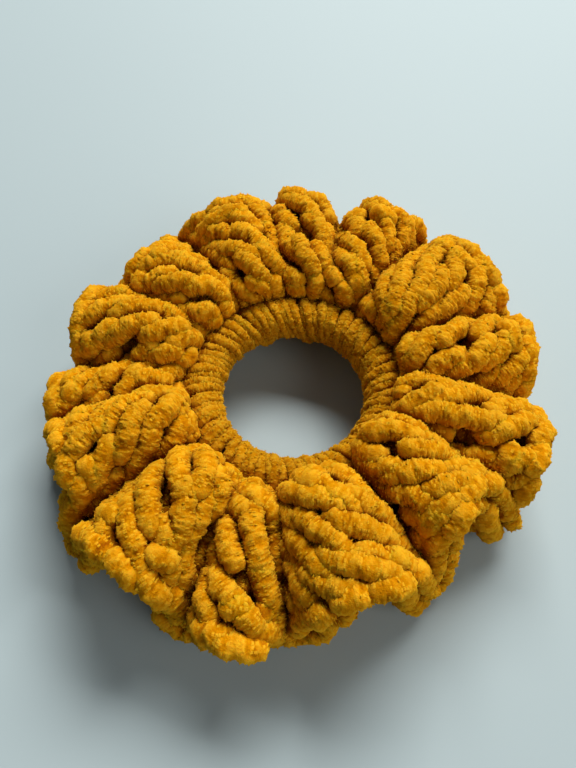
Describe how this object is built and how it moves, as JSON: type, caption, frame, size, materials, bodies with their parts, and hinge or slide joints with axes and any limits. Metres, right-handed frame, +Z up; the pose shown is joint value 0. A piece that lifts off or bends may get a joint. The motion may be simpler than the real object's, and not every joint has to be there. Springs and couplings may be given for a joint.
{
  "type": "scrunchie",
  "caption": "Round crocheted hair scrunchie: a stretchy covered elastic band with a wide, thick, folded ruffle of chenille yarn all round it.",
  "frame": {"origin": "on the ring's axis, in the plane of the surface that the ruffle rests on", "axes": "+Z up along the ring's axis; +Y towards the seam where the rounds of crochet were joined; +X to the right"},
  "size_m": [0.1091, 0.1092, 0.0275],
  "materials": {
    "chenille_yarn_ruffle": "matte",
    "chenille_yarn_band": "matte",
    "hair_elastic": "matte"
  },
  "bodies": {
    "section_01": {"elastic_01": "hair_elastic", "base_round_01": "chenille_yarn_band", "ruffle_fold_01": "chenille_yarn_ruffle", "edge_round_01": "chenille_yarn_ruffle", "yarn_tail_start": "chenille_yarn_band"},
    "section_02": {"elastic_02": "hair_elastic", "base_round_02": "chenille_yarn_band", "ruffle_fold_02": "chenille_yarn_ruffle", "edge_round_02": "chenille_yarn_ruffle"},
    "section_03": {"elastic_03": "hair_elastic", "base_round_03": "chenille_yarn_band", "ruffle_fold_03": "chenille_yarn_ruffle", "edge_round_03": "chenille_yarn_ruffle"},
    "section_04": {"elastic_04": "hair_elastic", "base_round_04": "chenille_yarn_band", "ruffle_fold_04": "chenille_yarn_ruffle", "edge_round_04": "chenille_yarn_ruffle"},
    "section_05": {"elastic_05": "hair_elastic", "base_round_05": "chenille_yarn_band", "ruffle_fold_05": "chenille_yarn_ruffle", "edge_round_05": "chenille_yarn_ruffle"},
    "section_06": {"elastic_06": "hair_elastic", "base_round_06": "chenille_yarn_band", "ruffle_fold_06": "chenille_yarn_ruffle", "edge_round_06": "chenille_yarn_ruffle"},
    "section_07": {"elastic_07": "hair_elastic", "base_round_07": "chenille_yarn_band", "ruffle_fold_07": "chenille_yarn_ruffle", "edge_round_07": "chenille_yarn_ruffle"},
    "section_08": {"elastic_08": "hair_elastic", "base_round_08": "chenille_yarn_band", "ruffle_fold_08": "chenille_yarn_ruffle", "edge_round_08": "chenille_yarn_ruffle"},
    "section_09": {"elastic_09": "hair_elastic", "base_round_09": "chenille_yarn_band", "ruffle_fold_09": "chenille_yarn_ruffle", "edge_round_09": "chenille_yarn_ruffle"},
    "section_10": {"elastic_10": "hair_elastic", "base_round_10": "chenille_yarn_band", "ruffle_fold_10": "chenille_yarn_ruffle", "edge_round_10": "chenille_yarn_ruffle"},
    "section_11": {"elastic_11": "hair_elastic", "base_round_11": "chenille_yarn_band", "ruffle_fold_11": "chenille_yarn_ruffle", "edge_round_11": "chenille_yarn_ruffle"},
    "section_12": {"elastic_12": "hair_elastic", "base_round_12": "chenille_yarn_band", "ruffle_fold_12": "chenille_yarn_ruffle", "edge_round_12": "chenille_yarn_ruffle"},
    "section_13": {"elastic_13": "hair_elastic", "base_round_13": "chenille_yarn_band", "ruffle_fold_13": "chenille_yarn_ruffle", "edge_round_13": "chenille_yarn_ruffle"},
    "section_14": {"elastic_14": "hair_elastic", "base_round_14": "chenille_yarn_band", "ruffle_fold_14": "chenille_yarn_ruffle", "edge_round_14": "chenille_yarn_ruffle", "yarn_tail_end": "chenille_yarn_band"}
  },
  "joints": [
    {"name": "ring_stretch", "type": "slide", "parent": "section_08", "child": "section_09", "axis": [0.8767, 0.481, 0], "range_m": [0, 0.0062], "stiffness_N_per_m": 20},
    {"name": "stretch_10", "type": "slide", "parent": "section_09", "child": "section_10", "axis": [0.4924, 0.8704, 0], "range_m": [0, 0.00557], "stiffness_N_per_m": 20},
    {"name": "stretch_11", "type": "slide", "parent": "section_10", "child": "section_11", "axis": [0.0349, 0.9994, 0], "range_m": [0, 0.00466], "stiffness_N_per_m": 20},
    {"name": "stretch_12", "type": "slide", "parent": "section_11", "child": "section_12", "axis": [-0.4107, 0.9118, 0], "range_m": [0, 0.00511], "stiffness_N_per_m": 20},
    {"name": "stretch_13", "type": "slide", "parent": "section_12", "child": "section_13", "axis": [-0.7826, 0.6225, 0], "range_m": [0, 0.00502], "stiffness_N_per_m": 20},
    {"name": "stretch_14", "type": "slide", "parent": "section_13", "child": "section_14", "axis": [-0.9648, 0.263, 0], "range_m": [0, 0.00365], "stiffness_N_per_m": 20},
    {"name": "stretch_07", "type": "slide", "parent": "section_08", "child": "section_07", "axis": [-0.9997, 0.0262, 0], "range_m": [0, 0.00502], "stiffness_N_per_m": 20},
    {"name": "stretch_06", "type": "slide", "parent": "section_07", "child": "section_06", "axis": [-0.889, 0.4579, 0], "range_m": [0, 0.00457], "stiffness_N_per_m": 20},
    {"name": "stretch_05", "type": "slide", "parent": "section_06", "child": "section_05", "axis": [-0.5842, 0.8116, 0], "range_m": [0, 0.00548], "stiffness_N_per_m": 20},
    {"name": "stretch_04", "type": "slide", "parent": "section_05", "child": "section_04", "axis": [-0.1779, 0.984, 0], "range_m": [0, 0.00402], "stiffness_N_per_m": 20},
    {"name": "stretch_03", "type": "slide", "parent": "section_04", "child": "section_03", "axis": [0.1865, 0.9825, 0], "range_m": [0, 0.00383], "stiffness_N_per_m": 20},
    {"name": "stretch_02", "type": "slide", "parent": "section_03", "child": "section_02", "axis": [0.5519, 0.8339, 0], "range_m": [0, 0.00466], "stiffness_N_per_m": 20},
    {"name": "stretch_01", "type": "slide", "parent": "section_02", "child": "section_01", "axis": [0.8572, 0.515, 0], "range_m": [0, 0.00484], "stiffness_N_per_m": 20}
  ],
  "couplings": [
    {"joint": "stretch_10", "follows": "ring_stretch", "ratio": 0.89807},
    {"joint": "stretch_11", "follows": "ring_stretch", "ratio": 0.75101},
    {"joint": "stretch_12", "follows": "ring_stretch", "ratio": 0.82474},
    {"joint": "stretch_13", "follows": "ring_stretch", "ratio": 0.81002},
    {"joint": "stretch_14", "follows": "ring_stretch", "ratio": 0.58762},
    {"joint": "stretch_07", "follows": "ring_stretch", "ratio": 0.81002},
    {"joint": "stretch_06", "follows": "ring_stretch", "ratio": 0.73623},
    {"joint": "stretch_05", "follows": "ring_stretch", "ratio": 0.88343},
    {"joint": "stretch_04", "follows": "ring_stretch", "ratio": 0.64721},
    {"joint": "stretch_03", "follows": "ring_stretch", "ratio": 0.61744},
    {"joint": "stretch_02", "follows": "ring_stretch", "ratio": 0.75101},
    {"joint": "stretch_01", "follows": "ring_stretch", "ratio": 0.78055}
  ]
}
